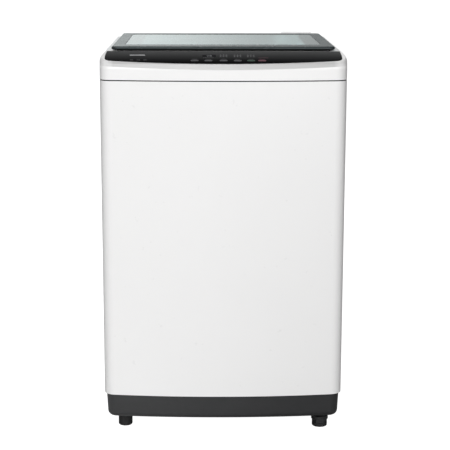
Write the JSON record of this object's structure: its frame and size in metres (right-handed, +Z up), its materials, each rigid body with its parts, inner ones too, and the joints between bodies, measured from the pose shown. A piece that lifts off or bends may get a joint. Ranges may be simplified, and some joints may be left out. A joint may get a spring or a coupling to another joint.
{
  "type": "top load washing machine",
  "caption": "Free-standing top-loading washing machine with a bowed white cabinet, a sloping black control panel and a hinged glass lid.",
  "frame": {"origin": "middle of the footprint, on the floor under the feet", "axes": "+X to the machine's left-to-right as seen from the front, -Y towards the front, +Z up"},
  "size_m": [0.55, 0.5699, 0.8996],
  "materials": {
    "white_steel": "gloss",
    "plated_steel": "satin",
    "white_plastic": "satin",
    "black_gloss": "gloss",
    "base_plastic": "matte",
    "lid_plastic": "satin",
    "lid_glass": "gloss",
    "rubber": "matte",
    "button_grey": "satin",
    "button_green": "satin",
    "button_red": "satin",
    "display": "gloss",
    "circuit_board": "satin",
    "stainless": "satin",
    "bright_steel": "polished",
    "aluminium": "satin",
    "tub_plastic": "matte",
    "pulsator_plastic": "satin",
    "grey_plastic": "matte",
    "dark_paint": "satin"
  },
  "bodies": {
    "cabinet": {"cabinet_wrap": "white_steel", "rear_cover": "plated_steel", "rear_cover_screws": "bright_steel", "base_frame": "base_plastic", "bottom_guard": "grey_plastic", "fixed_feet": "rubber", "top_cover": "white_plastic", "control_panel": "black_gloss", "display_window": "display", "control_board": "circuit_board", "inlet_valve": "white_plastic", "dispenser_housing": "white_plastic", "lid_switch": "grey_plastic", "level_sensor": "grey_plastic", "cord_grommet": "rubber", "drain_outlet": "grey_plastic", "corner_brackets": "plated_steel", "suspension_rods": "bright_steel", "suspension_cups": "grey_plastic", "suspension_springs": "plated_steel", "drain_hose": "grey_plastic"},
    "lid": {"lid_frame": "lid_plastic", "lid_glass": "lid_glass", "lid_hinge_pins": "bright_steel", "lid_bumpers": "rubber"},
    "button_delay": {"button_delay": "button_grey"},
    "button_water_level": {"button_water_level": "button_grey"},
    "button_function": {"button_function": "button_grey"},
    "button_program": {"button_program": "button_grey"},
    "button_start_pause": {"button_start_pause": "button_green"},
    "button_power": {"button_power": "button_red"},
    "drawer": {"detergent_drawer": "white_plastic"},
    "tub": {"outer_tub": "tub_plastic", "tub_cover": "white_plastic", "drive_frame": "plated_steel", "gearbox_case": "aluminium", "spin_bearings": "bright_steel", "tub_seal": "rubber", "motor_case": "dark_paint", "drive_belt": "rubber", "drain_valve": "grey_plastic", "drain_actuator": "grey_plastic"},
    "basket": {"basket": "stainless", "basket_base": "white_plastic", "basket_hub": "aluminium", "balance_ring": "white_plastic", "lint_filters": "white_plastic", "spin_shaft": "bright_steel"},
    "pulsator": {"pulsator": "pulsator_plastic", "pulsator_screw": "bright_steel", "wash_shaft": "bright_steel"},
    "drive_pulley": {"drive_pulley": "aluminium", "input_shaft": "bright_steel"},
    "motor_rotor": {"motor_rotor": "bright_steel", "motor_pulley": "aluminium"},
    "pull_rod": {"pull_rod": "grey_plastic"},
    "valve_plunger": {"valve_plunger": "rubber"},
    "clutch_lever": {"clutch_lever": "plated_steel"},
    "foot_pad": {"foot_pad": "rubber"},
    "foot_screw": {"foot_screw": "base_plastic"}
  },
  "joints": [
    {"name": "lid_hinge", "type": "hinge", "parent": "cabinet", "child": "lid", "pos_m": [0, 0.236, 0.89], "axis": [-1, 0, 0], "range_deg": [0, 95]},
    {"name": "button_delay_press", "type": "slide", "parent": "cabinet", "child": "button_delay", "axis": [0, 0.3399, -0.9405], "range_m": [0, 0.0012], "stiffness_N_per_m": 1500, "springref_m": -0.001},
    {"name": "button_water_level_press", "type": "slide", "parent": "cabinet", "child": "button_water_level", "axis": [0, 0.3399, -0.9405], "range_m": [0, 0.0012], "stiffness_N_per_m": 1500, "springref_m": -0.001},
    {"name": "button_function_press", "type": "slide", "parent": "cabinet", "child": "button_function", "axis": [0, 0.3399, -0.9405], "range_m": [0, 0.0012], "stiffness_N_per_m": 1500, "springref_m": -0.001},
    {"name": "button_program_press", "type": "slide", "parent": "cabinet", "child": "button_program", "axis": [0, 0.3399, -0.9405], "range_m": [0, 0.0012], "stiffness_N_per_m": 1500, "springref_m": -0.001},
    {"name": "button_start_pause_press", "type": "slide", "parent": "cabinet", "child": "button_start_pause", "axis": [0, 0.3399, -0.9405], "range_m": [0, 0.0012], "stiffness_N_per_m": 1500, "springref_m": -0.001},
    {"name": "button_power_press", "type": "slide", "parent": "cabinet", "child": "button_power", "axis": [0, 0.3399, -0.9405], "range_m": [0, 0.0012], "stiffness_N_per_m": 1500, "springref_m": -0.001},
    {"name": "drawer_slide", "type": "slide", "parent": "cabinet", "child": "drawer", "axis": [0, -1, 0], "range_m": [0, 0.055]},
    {"name": "tub_bounce", "type": "slide", "parent": "cabinet", "child": "tub", "axis": [0, 0, 1], "range_m": [-0.02, 0.01], "stiffness_N_per_m": 14000, "springref_m": 0.01708, "deforming": ["suspension_springs", "drain_hose"]},
    {"name": "basket_spin", "type": "hinge", "parent": "tub", "child": "basket", "pos_m": [0, -0.008, 0.3], "axis": [0, 0, 1], "continuous": true},
    {"name": "pulley_spin", "type": "hinge", "parent": "tub", "child": "drive_pulley", "pos_m": [0, -0.008, 0.3], "axis": [0, 0, 1], "continuous": true},
    {"name": "pulsator_spin", "type": "hinge", "parent": "tub", "child": "pulsator", "pos_m": [0, -0.008, 0.3], "axis": [0, 0, 1], "continuous": true},
    {"name": "motor_spin", "type": "hinge", "parent": "tub", "child": "motor_rotor", "pos_m": [0.158, -0.008, 0.3], "axis": [0, 0, 1], "continuous": true},
    {"name": "actuator_pull", "type": "slide", "parent": "tub", "child": "pull_rod", "axis": [1, 0, 0], "range_m": [0, 0.012], "stiffness_N_per_m": 400, "springref_m": -0.008},
    {"name": "valve_open", "type": "slide", "parent": "tub", "child": "valve_plunger", "axis": [1, 0, 0], "range_m": [0, 0.012]},
    {"name": "clutch_turn", "type": "hinge", "parent": "tub", "child": "clutch_lever", "pos_m": [-0.062, -0.062, 0.217], "axis": [0, 0, 1], "range_deg": [0, 23]},
    {"name": "foot_lift", "type": "slide", "parent": "cabinet", "child": "foot_pad", "axis": [0, 0, -1], "range_m": [0, 0.012]},
    {"name": "foot_turn", "type": "hinge", "parent": "foot_pad", "child": "foot_screw", "pos_m": [0.231, -0.195, 0.02], "axis": [0, 0, -1], "range_deg": [0, 2881]}
  ],
  "couplings": [
    {"joint": "pulsator_spin", "follows": "pulley_spin", "ratio": 0.17857},
    {"joint": "motor_spin", "follows": "pulley_spin", "ratio": 3.3077},
    {"joint": "valve_open", "follows": "actuator_pull", "ratio": 1},
    {"joint": "clutch_turn", "follows": "actuator_pull", "rad_per_m": 33.333},
    {"joint": "foot_turn", "follows": "foot_lift", "rad_per_m": 4188.8}
  ]
}
